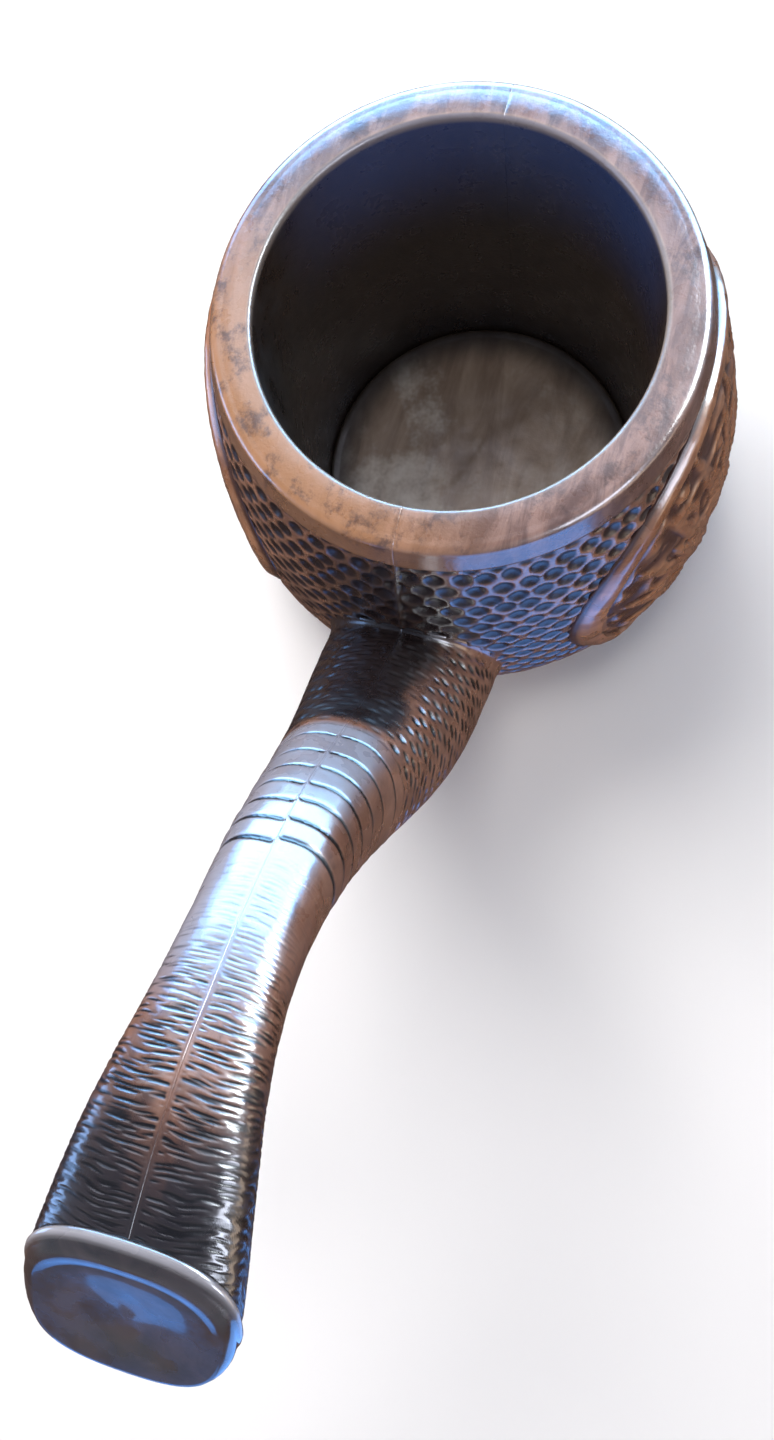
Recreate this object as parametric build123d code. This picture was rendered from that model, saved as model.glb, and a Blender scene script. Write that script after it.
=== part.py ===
from build123d import *
import os
from math import asin, cos, degrees, radians, sin

# Drinking cup with a raised handle, jointed on its plane of symmetry. Millimetres.
# Origin: centre of the flat base. +Z is up, +X runs along the handle away from the bowl,
# and the joint between the right (+Y) and left (-Y) halves is the plane y = 0.

# ---- driving dimensions ------------------------------------------------------------
MOUTH_RADIUS = 36.0          # straight bore, 72 mm across
BORE_DEPTH = 79.0
FLOOR_THICKNESS = 9.0
RIM_HEIGHT = FLOOR_THICKNESS + BORE_DEPTH

BELLY_RADIUS = 53.3          # widest circle of the outside
BELLY_HEIGHT = 33.0
SHOULDER_CURVE = 140.0       # radius of the outline's arc above the belly
LOWER_CURVE = 72.0           # radius of the outline's arc below the belly
LOWER_TURN = 22.0            # degrees that the lower arc turns before the base corner

BAND_HEIGHT = 6.4            # smooth band round the rim
BAND_STEP = 0.6              # how far the band stands out from the wall under it
BAND_TAPER = 1.4             # the band is this much narrower at its top
BAND_EDGE = 1.2              # rounding of the band's top edge

FLOOR_TONGUE = 3.0           # the floor's tongue reaches this far into the wall
TONGUE_BOTTOM = 3.0
TONGUE_TOP = 6.0

# Handle: centre-line place (x, z), half width across and half depth at each station.
HANDLE_STATIONS = [
    ((34.0, 19.0), 18.4, 16.0),
    ((49.0, 33.0), 18.0, 16.5),
    ((65.0, 47.5), 17.0, 16.4),
    ((80.0, 71.0), 13.4, 13.1),
    ((91.5, 94.5), 10.3, 10.3),
    ((101.0, 109.0), 9.1, 8.4),
    ((112.5, 119.2), 8.6, 6.9),
    ((131.0, 127.9), 11.0, 6.6),
    ((150.0, 127.9), 13.9, 7.1),
    ((174.0, 126.0), 15.3, 6.9),
]
SECTION_POINTS = 13          # points along one half of a handle section
ROOT_SQUARENESS = 2.0        # 2 is a true ellipse, more is nearer a rectangle
END_SQUARENESS = 2.7

END_CORNER = (150.0, 135.0)  # (x, z) where the sloping end face meets the crest
END_SLOPE = 45.0             # degrees, the way the end face looks, above level
CAP_THICKNESS = 3.5
PEG_RADIUS = 3.0             # the cap's own peg, from inside the cap to its tip (x, z)
PEG_ROOT = (155.0, 127.0)
PEG_TIP = (142.0, 127.6)

TENON_RADIUS = 6.0
TENON_AXIS_POINT = (52.0, 35.5)
TENON_SLOPE = 42.0
TENON_IN_WALL = 10.0
TENON_IN_HANDLE = 22.0

DOWEL_LENGTH = 12.0
BOWL_DOWEL_RADIUS = 2.5
BOWL_DOWEL_PLACES = [(-44.0, 16.0), (-43.0, 64.0), (43.5, 14.0), (42.0, 68.0)]
HANDLE_DOWEL_RADIUS = 1.8
HANDLE_DOWEL_PLACES = [(78.0, 67.0), (96.0, 102.0), (128.0, 127.3)]

MEDALLION_CENTRE_Z = 41.5
MEDALLION_HALF_WIDTH = 42.5
MEDALLION_HALF_HEIGHT = 39.0
MEDALLION_BORDER = 3.6       # width of its raised border
BORDER_PROUD = 1.8           # how far the border stands out from the wall
PANEL_PROUD = 0.8            # how far the ground inside the border stands out
MEDALLION_SEAT = 1.0         # how deep the medallion sits in the wall

os.makedirs("parts", exist_ok=True)


# ---- bowl --------------------------------------------------------------------------
def wall_radius(height):
    """Outside radius of the wall at a height above the belly."""
    rise = height - BELLY_HEIGHT
    return BELLY_RADIUS - SHOULDER_CURVE + (SHOULDER_CURVE**2 - rise**2) ** 0.5


def outline(grow, top):
    """Half profile of the bowl's outside, grown outwards, closed back to the axis."""
    turn = degrees(asin((top - BELLY_HEIGHT) / (SHOULDER_CURVE + grow)))
    belly = (BELLY_RADIUS + grow, BELLY_HEIGHT)
    lower_end = BELLY_HEIGHT - LOWER_CURVE * sin(radians(LOWER_TURN))
    corner = lower_end / (1 - sin(radians(LOWER_TURN)))
    upper = JernArc(belly, (0, 1), SHOULDER_CURVE + grow, turn)
    lower = JernArc(belly, (0, -1), LOWER_CURVE + grow, -LOWER_TURN)
    base = JernArc(lower @ 1, lower % 1, corner + grow, LOWER_TURN - 90)
    foot = Line(base @ 1, (0, (base @ 1).Y))
    axis = Line((0, (base @ 1).Y), (0, (upper @ 1).Y))
    lid = Line((0, (upper @ 1).Y), upper @ 1)
    return make_face([upper, lower, base, foot, axis, lid])


def bowl_body(grow, top):
    """Solid of revolution inside the grown outline."""
    return revolve(Plane.XZ * outline(grow, top), Axis.Z)


def rim_band():
    """The smooth band round the rim, with its rounded top edge."""
    bottom = RIM_HEIGHT - BAND_HEIGHT
    outer = wall_radius(bottom) + BAND_STEP
    section = Polyline(
        (0, bottom), (outer, bottom), (outer - BAND_TAPER, RIM_HEIGHT), (0, RIM_HEIGHT), close=True
    )
    band = revolve(Plane.XZ * make_face(section), Axis.Z)
    return fillet(band.edges().group_by(Axis.Z)[-1], BAND_EDGE)


def bore():
    """The straight inside, open through the bottom for the floor."""
    return Pos(0, 0, RIM_HEIGHT / 2) * Cylinder(MOUTH_RADIUS, RIM_HEIGHT + 2)


def floor_disc():
    """Round floor with a tongue that sits in the wall's groove."""
    disc = Pos(0, 0, FLOOR_THICKNESS / 2) * Cylinder(MOUTH_RADIUS, FLOOR_THICKNESS)
    middle = (TONGUE_BOTTOM + TONGUE_TOP) / 2
    tongue = Pos(0, 0, middle) * Cylinder(MOUTH_RADIUS + FLOOR_TONGUE, TONGUE_TOP - TONGUE_BOTTOM)
    return disc + tongue


def on_side(shape, side):
    """The part of a shape on the right (+1) or the left (-1) of the joint plane."""
    size = 4 * RIM_HEIGHT
    return shape & Pos(0, side * size / 2, 0) * Box(size, size, size)


# ---- medallion ---------------------------------------------------------------------
def side_oval(inset):
    """Oval prism that looks along Y and covers the right side of the bowl."""
    oval = Ellipse(MEDALLION_HALF_WIDTH - inset, MEDALLION_HALF_HEIGHT - inset)
    return extrude(Plane.XZ * Pos(0, MEDALLION_CENTRE_Z) * oval, -2 * BELLY_RADIUS)


def medallion(seat_body, panel_body, border_body):
    """Right-hand medallion: a panel that follows the wall, with a raised border."""
    panel = (panel_body - seat_body) & side_oval(0)
    border = (border_body - seat_body) & (side_oval(0) - side_oval(MEDALLION_BORDER))
    return panel + border


# ---- handle ------------------------------------------------------------------------
def station_plane(index, path):
    """Plane across the handle's centre line at one station."""
    tangent = path.tangent_at(path.param_at_point(path_point(index)))
    return Plane(path_point(index), x_dir=(0, 1, 0), z_dir=tangent)


def path_point(index):
    """Centre-line point of one station."""
    (x, z) = HANDLE_STATIONS[index][0]
    return Vector(x, 0, z)


def half_section(half_width, half_depth, squareness):
    """Right half of a rounded handle section, flat on the joint plane."""
    points = []
    for step in range(SECTION_POINTS):
        angle = radians(-90 + 180 * step / (SECTION_POINTS - 1))
        across = half_width * abs(cos(angle)) ** (2 / squareness)
        up = half_depth * abs(sin(angle)) ** (2 / squareness)
        points.append((across, up if angle > 0 else -up))
    points[0] = (0, -half_depth)
    points[-1] = (0, half_depth)
    curve = Spline(points, tangents=[(1, 0), (-1, 0)])
    return make_face([curve, Line(curve @ 1, curve @ 0)])


def handle_side():
    """Right half of the whole handle before it is trimmed at either end."""
    count = len(HANDLE_STATIONS)
    path = Spline([path_point(index) for index in range(count)])
    sections = []
    for index, (_, half_width, half_depth) in enumerate(HANDLE_STATIONS):
        share = index / (count - 1)
        squareness = ROOT_SQUARENESS + (END_SQUARENESS - ROOT_SQUARENESS) * share
        sections.append(station_plane(index, path) * half_section(half_width, half_depth, squareness))
    return loft(sections)


def end_plane(depth):
    """Plane parallel to the sloping end face, that far inside it."""
    look = Vector(cos(radians(END_SLOPE)), 0, sin(radians(END_SLOPE)))
    return Plane(Vector(END_CORNER[0], 0, END_CORNER[1]) - look * depth, z_dir=look)


def rod(radius, start, end):
    """Round rod between two points."""
    along = Vector(*end) - Vector(*start)
    return extrude(Plane(Vector(*start), z_dir=along) * Circle(radius), along.length)


def tenon():
    """Round tenon that runs along the handle's root into the bowl wall."""
    way = Vector(cos(radians(TENON_SLOPE)), 0, sin(radians(TENON_SLOPE)))
    middle = Vector(TENON_AXIS_POINT[0], 0, TENON_AXIS_POINT[1])
    return rod(TENON_RADIUS, tuple(middle - way * TENON_IN_WALL), tuple(middle + way * TENON_IN_HANDLE))


def dowels(radius, places):
    """Dowels across the joint plane."""
    half = DOWEL_LENGTH / 2
    return [rod(radius, (x, -half, z), (x, half, z)) for x, z in places]


# ---- assembly ----------------------------------------------------------------------
def minus(shape, tools):
    """Shape with every tool cut away."""
    for tool in tools:
        shape = shape - tool
    return shape


def build():
    """Every separate piece, by node name."""
    wall_top = RIM_HEIGHT - BAND_HEIGHT
    wall_body = bowl_body(0, wall_top)
    full_body = wall_body + rim_band()
    seat_body = bowl_body(-MEDALLION_SEAT, wall_top)
    panel_body = bowl_body(PANEL_PROUD, wall_top)
    border_body = bowl_body(BORDER_PROUD, wall_top)

    floor = floor_disc()
    right_medallion = medallion(seat_body, panel_body, border_body)
    joint_tenon = tenon()
    bowl_dowels = dowels(BOWL_DOWEL_RADIUS, BOWL_DOWEL_PLACES)
    handle_dowels = dowels(HANDLE_DOWEL_RADIUS, HANDLE_DOWEL_PLACES)

    bowl_right = on_side(full_body, 1)
    bowl_right = minus(bowl_right, [bore(), floor, right_medallion, joint_tenon] + bowl_dowels)

    handle_right = handle_side()
    whole_handle = handle_right + mirror(handle_right, about=Plane.XZ)
    peg = rod(PEG_RADIUS, (PEG_ROOT[0], 0, PEG_ROOT[1]), (PEG_TIP[0], 0, PEG_TIP[1]))
    cap = split(whole_handle, bisect_by=end_plane(CAP_THICKNESS), keep=Keep.TOP)
    cap = split(cap, bisect_by=end_plane(0), keep=Keep.BOTTOM) + peg
    handle_right = split(handle_right, bisect_by=end_plane(CAP_THICKNESS), keep=Keep.BOTTOM)
    handle_right = minus(handle_right, [full_body, joint_tenon, peg] + handle_dowels)

    return {
        "bowl_half_right": bowl_right,
        "bowl_half_left": mirror(bowl_right, about=Plane.XZ),
        "bowl_floor": floor,
        "bowl_dowels": Compound(children=bowl_dowels),
        "medallion_right": right_medallion,
        "medallion_left": mirror(right_medallion, about=Plane.XZ),
        "handle_half_right": handle_right,
        "handle_half_left": mirror(handle_right, about=Plane.XZ),
        "handle_tenon": joint_tenon,
        "handle_dowels": Compound(children=handle_dowels),
        "handle_end_cap": cap,
    }


for name, piece in build().items():
    export_step(piece, f"parts/{name}.step")
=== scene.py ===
import math

import bmesh
import bpy
import numpy as np
from mathutils import Matrix, Vector


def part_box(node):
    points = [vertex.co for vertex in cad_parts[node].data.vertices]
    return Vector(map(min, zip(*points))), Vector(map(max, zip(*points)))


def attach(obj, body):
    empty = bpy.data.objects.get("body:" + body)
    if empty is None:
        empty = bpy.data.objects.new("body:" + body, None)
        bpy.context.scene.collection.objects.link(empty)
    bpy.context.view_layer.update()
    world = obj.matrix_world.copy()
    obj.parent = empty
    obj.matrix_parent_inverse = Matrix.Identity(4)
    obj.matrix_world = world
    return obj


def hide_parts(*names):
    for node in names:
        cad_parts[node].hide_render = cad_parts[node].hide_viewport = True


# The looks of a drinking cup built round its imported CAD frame. Shapes are worked out in
# millimetres in the frame's axes and are turned into metres where a mesh is made.
# +X runs along the handle, the two halves meet on the plane y = 0, and the base is z = 0.

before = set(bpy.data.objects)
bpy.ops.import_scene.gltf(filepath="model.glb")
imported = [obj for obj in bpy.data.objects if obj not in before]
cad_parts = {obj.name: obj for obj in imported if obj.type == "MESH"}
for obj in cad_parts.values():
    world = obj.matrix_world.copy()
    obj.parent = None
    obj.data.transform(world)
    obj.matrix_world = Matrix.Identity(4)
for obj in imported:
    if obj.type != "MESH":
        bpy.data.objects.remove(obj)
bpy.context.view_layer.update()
MM = 0.001


def box_mm(node):
    """Lowest and highest corner of a CAD node, in millimetres."""
    low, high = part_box(node)
    return np.array(low) / MM, np.array(high) / MM


# ---- sizes -------------------------------------------------------------------------
RIM_Z = box_mm("bowl_half_right")[1][2]
BELLY_RADIUS = -box_mm("bowl_half_right")[0][0]
FLOOR_Z = box_mm("bowl_floor")[1][2]
TONGUE_RADIUS = box_mm("bowl_floor")[1][0]
TONGUE_REACH = 3.0           # how far the floor's tongue goes into the wall
TONGUE_LOW, TONGUE_HIGH = 3.0, 6.0   # heights of its faces
MOUTH_RADIUS = TONGUE_RADIUS - TONGUE_REACH
LIP_ROUND = 0.9              # rounding of the mouth's edge
BELLY_Z = 33.0               # height of the widest place
SHOULDER_CURVE = 140.0       # radius of the wall's outline above the belly
LOWER_CURVE = 72.0           # and below it
LOWER_TURN = math.radians(22.0)     # slope at which the foot's smaller curve takes over
BAND_BOTTOM = RIM_Z - 6.4    # the smooth band round the rim
BAND_STEP = 0.6              # how far it stands out from the wall
BAND_TAPER = 1.4             # how much smaller its radius is at the top
BAND_EDGE = 2.2              # rounding from the band to the rim's top
RIM_FALL = 0.5               # the rim's top falls this much towards its outside

DIMPLE_COLUMNS = 62          # round the whole bowl
DIMPLE_ROW_PITCH = 3.45
DIMPLE_TOP_ROW = BAND_BOTTOM - 0.4
DIMPLE_HALF_WIDTH = 2.3
DIMPLE_HALF_HEIGHT = 1.9
DIMPLE_DEPTH = 0.70
FIELD_RADIUS = 48.0          # mean radius of the dimpled wall
SHADE_PATCH_Z = 60.0               # middle of the patch of painted shade above the handle's root
SHADE_PATCH_HALF_WIDTH = 20.0
SHADE_PATCH_HALF_HEIGHT = 34.0

OVAL_Z = 41.5                # the medallion's outline, seen from the side
OVAL_HALF_WIDTH = 42.5
OVAL_HALF_HEIGHT = 39.0

# Handle: centre-line (x, z), half width across, half depth, as in the CAD model.
HANDLE_STATIONS = [
    ((34.0, 19.0), 18.4, 16.0),
    ((49.0, 33.0), 18.0, 16.5),
    ((65.0, 47.5), 17.0, 16.4),
    ((80.0, 71.0), 13.4, 13.1),
    ((91.5, 94.5), 10.3, 10.3),
    ((101.0, 109.0), 9.1, 8.4),
    ((112.5, 119.2), 8.6, 6.9),
    ((131.0, 127.9), 11.0, 6.6),
    ((150.0, 127.9), 13.9, 7.1),
    ((174.0, 126.0), 15.3, 6.9),
]
END_CORNER = np.array([150.0, 135.0])
END_LOOK = np.array([math.sqrt(0.5), math.sqrt(0.5)])
CAP_THICKNESS = 3.5
ROOT_SQUARENESS = 2.0        # power of the superellipse section: 2 is an ellipse
END_SQUARENESS = 2.7


# ---- numbers -----------------------------------------------------------------------
def smooth_step(low, high, value):
    """0 below low, 1 above high, and an S-curve between."""
    share = np.clip((value - low) / (high - low), 0.0, 1.0)
    return share * share * (3.0 - 2.0 * share)


def bump(value, centre, width):
    """Bell curve of height 1."""
    return np.exp(-(((value - centre) / width) ** 2))


def lattice_noise(x, y, seed):
    """Smooth noise from -1 to 1 with features about one unit across."""
    rng = np.random.default_rng(seed)
    table = rng.uniform(-1.0, 1.0, (64, 64))
    column, row = np.floor(x).astype(int), np.floor(y).astype(int)
    u, v = smooth_step(0, 1, x - column), smooth_step(0, 1, y - row)

    def between(row):
        """Value on one row of the lattice."""
        return table[row % 64, column % 64] * (1 - u) + table[row % 64, (column + 1) % 64] * u

    return between(row) * (1 - v) + between(row + 1) * v


def layered_noise(x, y, seed, layers=3):
    """Several sizes of lattice noise added up, each half as strong and half as large."""
    total = np.zeros(np.broadcast(x, y).shape)
    for layer in range(layers):
        scale = 2.0**layer
        total = total + lattice_noise(x * scale, y * scale, seed + layer) / scale
    return total


def spline_through(knots, values):
    """Natural cubic spline through rows of values, as a function of the knot value."""
    knots, values = np.asarray(knots, float), np.asarray(values, float)
    values = values.reshape(len(knots), -1)
    gaps = np.diff(knots)
    slopes = np.diff(values, axis=0) / gaps[:, None]
    system = np.eye(len(knots))
    target = np.zeros_like(values)
    for i in range(1, len(knots) - 1):
        system[i, i - 1 : i + 2] = gaps[i - 1], 2 * (gaps[i - 1] + gaps[i]), gaps[i]
        target[i] = 6 * (slopes[i] - slopes[i - 1])
    bends = np.linalg.solve(system, target)

    def at(place):
        place = np.asarray(place, float)
        i = np.clip(np.searchsorted(knots, place) - 1, 0, len(gaps) - 1)
        gap = gaps[i][..., None]
        before = (place - knots[i])[..., None]
        after = gap - before
        curve = (bends[i] * after**3 + bends[i + 1] * before**3) / (6 * gap)
        start = (values[i] / gap - bends[i] * gap / 6) * after
        end = (values[i + 1] / gap - bends[i + 1] * gap / 6) * before
        return curve + start + end

    return at


# ---- meshes ------------------------------------------------------------------------
def make_mesh(name, points, faces, depth=None, shade_and_sheen=None, smooth=True):
    """Mesh object from millimetre points. Each point can keep its carving depth (on the end cap,
    the strength of the bead's painted highlight) and its painted shade and sheen, which is above 0
    where shade is painted and below 0 where a blue-grey sheen is painted."""
    mesh = bpy.data.meshes.new(name)
    mesh.from_pydata((np.asarray(points) * MM).tolist(), [], faces)
    mesh.update()
    work = bmesh.new()
    work.from_mesh(mesh)
    bmesh.ops.recalc_face_normals(work, faces=work.faces)
    work.to_mesh(mesh)
    work.free()
    for label, values in (("carving", depth), ("shade_and_sheen", shade_and_sheen)):
        if values is not None:
            layer = mesh.attributes.new(label, "FLOAT", "POINT")
            layer.data.foreach_set("value", np.asarray(values, dtype=np.float32))
    if smooth:
        mesh.shade_smooth()
    obj = bpy.data.objects.new(name, mesh)
    bpy.context.scene.collection.objects.link(obj)
    return obj


def grid_faces(rows, columns, wrap_columns=False):
    """Quads of a grid whose points are numbered row by row."""
    column = np.arange(columns if wrap_columns else columns - 1)
    row, column = np.meshgrid(np.arange(rows - 1), column, indexing="ij")
    next_row, next_column = row + 1, (column + 1) % columns
    quads = np.stack(
        [
            row * columns + column,
            row * columns + next_column,
            next_row * columns + next_column,
            next_row * columns + column,
        ],
        -1,
    ).reshape(-1, 4)
    return quads.tolist()


def fan(middle, first, count):
    """Triangles from a middle point to a closed ring of points numbered from first."""
    return [(middle, first + k, first + (k + 1) % count) for k in range(count)]


def clustered(count, first, length):
    """Places from 0 to length, closer together near both ends, where the first gap is given."""
    even = np.linspace(0, 1, count)
    pull = 1 - first * count / length
    return length * (even - pull * np.sin(2 * math.pi * even) / (2 * math.pi))


# ---- bowl --------------------------------------------------------------------------
def wall_radius(z):
    """Outside radius of the plain wall at a height."""
    z = np.asarray(z, float)
    corner_z = BELLY_Z - LOWER_CURVE * math.sin(LOWER_TURN)
    corner = corner_z / (1 - math.sin(LOWER_TURN))
    corner_middle = BELLY_RADIUS - LOWER_CURVE * (1 - math.cos(LOWER_TURN))
    corner_middle = corner_middle - corner * math.cos(LOWER_TURN)
    rise = z - BELLY_Z
    upper = BELLY_RADIUS - SHOULDER_CURVE + np.sqrt(SHOULDER_CURVE**2 - np.clip(rise, 0, None) ** 2)
    lower = BELLY_RADIUS - LOWER_CURVE + np.sqrt(LOWER_CURVE**2 - np.clip(-rise, 0, 30) ** 2)
    base = corner_middle + np.sqrt(np.clip(corner**2 - (corner - z) ** 2, 0, None))
    return np.where(rise > 0, upper, np.where(z > corner_z, lower, base))


def hex_dimples(around, along, pitch_around, pitch_along, half_around, half_along, seed, jitter):
    """Depth from 0 to 1 of oval gouges in staggered rows, with uneven places and sizes."""
    rng = np.random.default_rng(seed)
    shift = rng.uniform(-1, 1, (4, 128, 128))
    row = np.round(along / pitch_along).astype(int)
    deepest = np.zeros(np.broadcast(around, along).shape)
    for row_step in (-1, 0, 1):
        this_row = row + row_step
        stagger = 0.5 * (this_row % 2)
        column = np.round(around / pitch_around - stagger).astype(int)
        for column_step in (-1, 0, 1):
            this_column = column + column_step
            i, j = this_row % 128, this_column % 128
            centre_around = (this_column + stagger + jitter * shift[0, i, j]) * pitch_around
            centre_along = (this_row + jitter * shift[1, i, j]) * pitch_along
            size = 1 + 0.6 * jitter * shift[2, i, j]
            reach = ((around - centre_around) / (half_around * size)) ** 2
            reach = reach + ((along - centre_along) / (half_along * size)) ** 2
            strength = 1 + 0.9 * jitter * shift[3, i, j]
            bowl = np.clip(1 - reach, 0, None) ** 1.1 * strength
            deepest = np.maximum(deepest, bowl)
    return deepest


def oval_place(x, z):
    """How far out a point is on the medallion's oval: 1 is the outline."""
    return np.sqrt((x / OVAL_HALF_WIDTH) ** 2 + ((z - OVAL_Z) / OVAL_HALF_HEIGHT) ** 2)


def bowl_profile():
    """Loop of (radius, z) round the wall's section, from the inside bottom up and over, and the
    numbers of the first point of the dimpled field and of the first point after it."""
    inner = [(MOUTH_RADIUS, z) for z in np.linspace(0, RIM_Z - LIP_ROUND, 26)]
    lip = [
        (MOUTH_RADIUS + LIP_ROUND * (1 - math.cos(a)), RIM_Z - LIP_ROUND + LIP_ROUND * math.sin(a))
        for a in np.linspace(0.2, math.pi / 2, 6)
    ]
    band_bottom_radius = float(wall_radius(BAND_BOTTOM)) + BAND_STEP
    band_top_radius = band_bottom_radius - BAND_TAPER
    top_inside, top_outside = MOUTH_RADIUS + 1.2, band_top_radius - BAND_EDGE
    top = [
        (top_inside + (top_outside - top_inside) * share, RIM_Z - RIM_FALL * share**2)
        for share in np.linspace(0, 1, 12)
    ]
    edge = [
        (band_top_radius - BAND_EDGE * (1 - math.sin(a)) + 0.1,
         RIM_Z - RIM_FALL - (BAND_EDGE - RIM_FALL) * (1 - math.cos(a)))
        for a in np.linspace(0.2, math.pi / 2, 7)
    ]
    side_low = BAND_BOTTOM + 0.35
    side = [
        (band_top_radius + 0.1 + (band_bottom_radius - band_top_radius - 0.1) * share,
         RIM_Z - BAND_EDGE + (side_low - RIM_Z + BAND_EDGE) * share)
        for share in np.linspace(0.08, 1, 10)
    ]
    under = [
        (band_bottom_radius - 0.12, BAND_BOTTOM + 0.1),
        (band_bottom_radius - 0.36, BAND_BOTTOM - 0.05),
        (band_bottom_radius - BAND_STEP, BAND_BOTTOM - 0.25),
    ]
    field_z = np.concatenate([np.arange(BAND_BOTTOM - 0.6, 4.0, -0.45), np.linspace(3.8, 0.0, 10)])
    field = [(float(wall_radius(z)), z) for z in field_z]
    base = [(r, 0.0) for r in (38.4, 37.5, 36.6)]
    plain = inner + lip + top + edge + side + under
    return np.array(plain + field + base), len(plain), len(plain) + len(field)


def bowl_half(side):
    """One half of the wall: +1 for the right half, -1 for the left."""
    loop, first, last = bowl_profile()
    half_round = math.pi * BELLY_RADIUS
    columns = clustered(380, 0.16, half_round) / BELLY_RADIUS
    radius = np.repeat(loop[None, :, 0], len(columns), 0)
    z = np.repeat(loop[None, :, 1], len(columns), 0)
    azimuth = np.repeat(columns[:, None], len(loop), 1)
    around = side * azimuth
    pitch = 2 * math.pi / DIMPLE_COLUMNS

    is_field = np.zeros(len(loop), bool)
    is_field[first:last] = True
    fade = smooth_step(BAND_BOTTOM - 0.3, BAND_BOTTOM - 1.6, z) * smooth_step(1.5, 6.0, z)
    fade = fade * smooth_step(0.0, 1.4, np.minimum(azimuth, math.pi - azimuth) * BELLY_RADIUS)
    out = oval_place(radius * np.cos(azimuth), z)
    fade = fade * smooth_step(0.985, 1.02, out)
    dimple = hex_dimples(
        around, DIMPLE_TOP_ROW - z, pitch, DIMPLE_ROW_PITCH,
        DIMPLE_HALF_WIDTH / FIELD_RADIUS, DIMPLE_HALF_HEIGHT, seed=11, jitter=0.085,
    )
    depth = np.where(is_field, dimple * fade, 0.0)
    wobble = layered_noise(azimuth * 9, z / 9, 21) * 0.10
    wobble = wobble + layered_noise(azimuth * 60, z / 1.5, 22) * 0.018
    wobble = np.where(is_field, wobble, 0.35 * wobble)
    seam = bump(np.minimum(azimuth, math.pi - azimuth) * radius, 0.0, 0.28)
    outside = loop[:, 0] > MOUTH_RADIUS + 0.5
    seam_lift = np.where(is_field, 0.16, -0.10) * seam
    oval_groove = np.where(is_field, -0.35 * bump(out, 0.995, 0.012), 0.0)
    radius = radius + outside * (wobble * 0.8 + seam_lift + oval_groove - DIMPLE_DEPTH * depth)

    on_top = (z > RIM_Z - RIM_FALL - 0.01) & outside
    dents = layered_noise(azimuth * 12, radius / 4.0, 33) * 0.025
    z = z - on_top * (0.10 * seam - dents)

    # Painted shade: a soft patch on the wall above the handle's root, where handle and bowl shade
    # each other.
    near_root = np.hypot(
        azimuth * BELLY_RADIUS / SHADE_PATCH_HALF_WIDTH, (z - SHADE_PATCH_Z) / SHADE_PATCH_HALF_HEIGHT
    )
    shade_and_sheen = (1 - smooth_step(0.45, 1.15, near_root)) * is_field
    points = np.stack([radius * np.cos(azimuth), side * radius * np.sin(azimuth), z], -1)
    points = points.reshape(-1, 3)
    points[: len(loop), 1] = 0.0
    points[-len(loop) :, 1] = 0.0
    faces = grid_faces(len(columns), len(loop), wrap_columns=True)
    near_joint = list(range(len(loop)))
    far_joint = [(len(columns) - 1) * len(loop) + k for k in near_joint]
    faces += [near_joint, far_joint]
    name = "bowl_right" if side > 0 else "bowl_left"
    return make_mesh(name, points, faces, depth.reshape(-1), shade_and_sheen.reshape(-1))


def bowl_floor():
    """Round floor: a slightly dished, hand-cut top, and the tongue that sits in the wall."""
    rim = MOUTH_RADIUS - 0.05
    sunk = 0.25
    rings = [(r, 0.0) for r in np.linspace(6, rim, 6)]
    rings += [(rim, TONGUE_LOW), (TONGUE_RADIUS, TONGUE_LOW)]
    rings += [(TONGUE_RADIUS, TONGUE_HIGH), (rim, TONGUE_HIGH)]
    rings += [(rim, 6.6), (rim, FLOOR_Z - 0.7), (rim - 0.25, FLOOR_Z - 0.2), (rim - 0.9, FLOOR_Z)]
    rings += [(r, FLOOR_Z) for r in np.linspace(rim - 1.8, 0.6, 60)]
    rings = np.array(rings)
    angles = np.linspace(0, 2 * math.pi, 240, endpoint=False)
    radius = np.repeat(rings[:, :1], len(angles), 1)
    z = np.repeat(rings[:, 1:], len(angles), 1)
    x, y = radius * np.cos(angles), radius * np.sin(angles)
    on_top = (z > FLOOR_Z - 0.01) & (radius < rim - 0.95)
    hollow = layered_noise(x / 7, y / 7, 41) * 0.16 + layered_noise(x / 1.6, y / 1.6, 43) * 0.02
    z = z + on_top * (hollow - sunk)
    points = np.stack([x, y, z], -1).reshape(-1, 3)
    faces = grid_faces(len(rings), len(angles), wrap_columns=True)
    faces += fan(len(points), 0, len(angles))
    faces += fan(len(points) + 1, (len(rings) - 1) * len(angles), len(angles))
    points = np.vstack([points, [0, 0, 0], [0, 0, FLOOR_Z - sunk]])
    return make_mesh("floor_disc", points, faces, np.zeros(len(points)))


# ---- medallion ---------------------------------------------------------------------
# Layers of the spray, low to high: leaves, degrees between them, reach as a share of the way
# to the border, half width, bend, height.
LEAF_LAYERS = (
    (17, 10.4, 0.97, 3.3, 2.0, 0.62),
    (10, 17.5, 0.80, 4.2, 3.5, 0.85),
    (7, 24.0, 0.55, 4.4, 4.0, 1.0),
)
LEAF_LIMIT = 0.87            # leaves stop inside the border, on the oval's scale
PANEL_SINK = 0.6             # how deep the medallion's back lies in the wall


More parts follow.
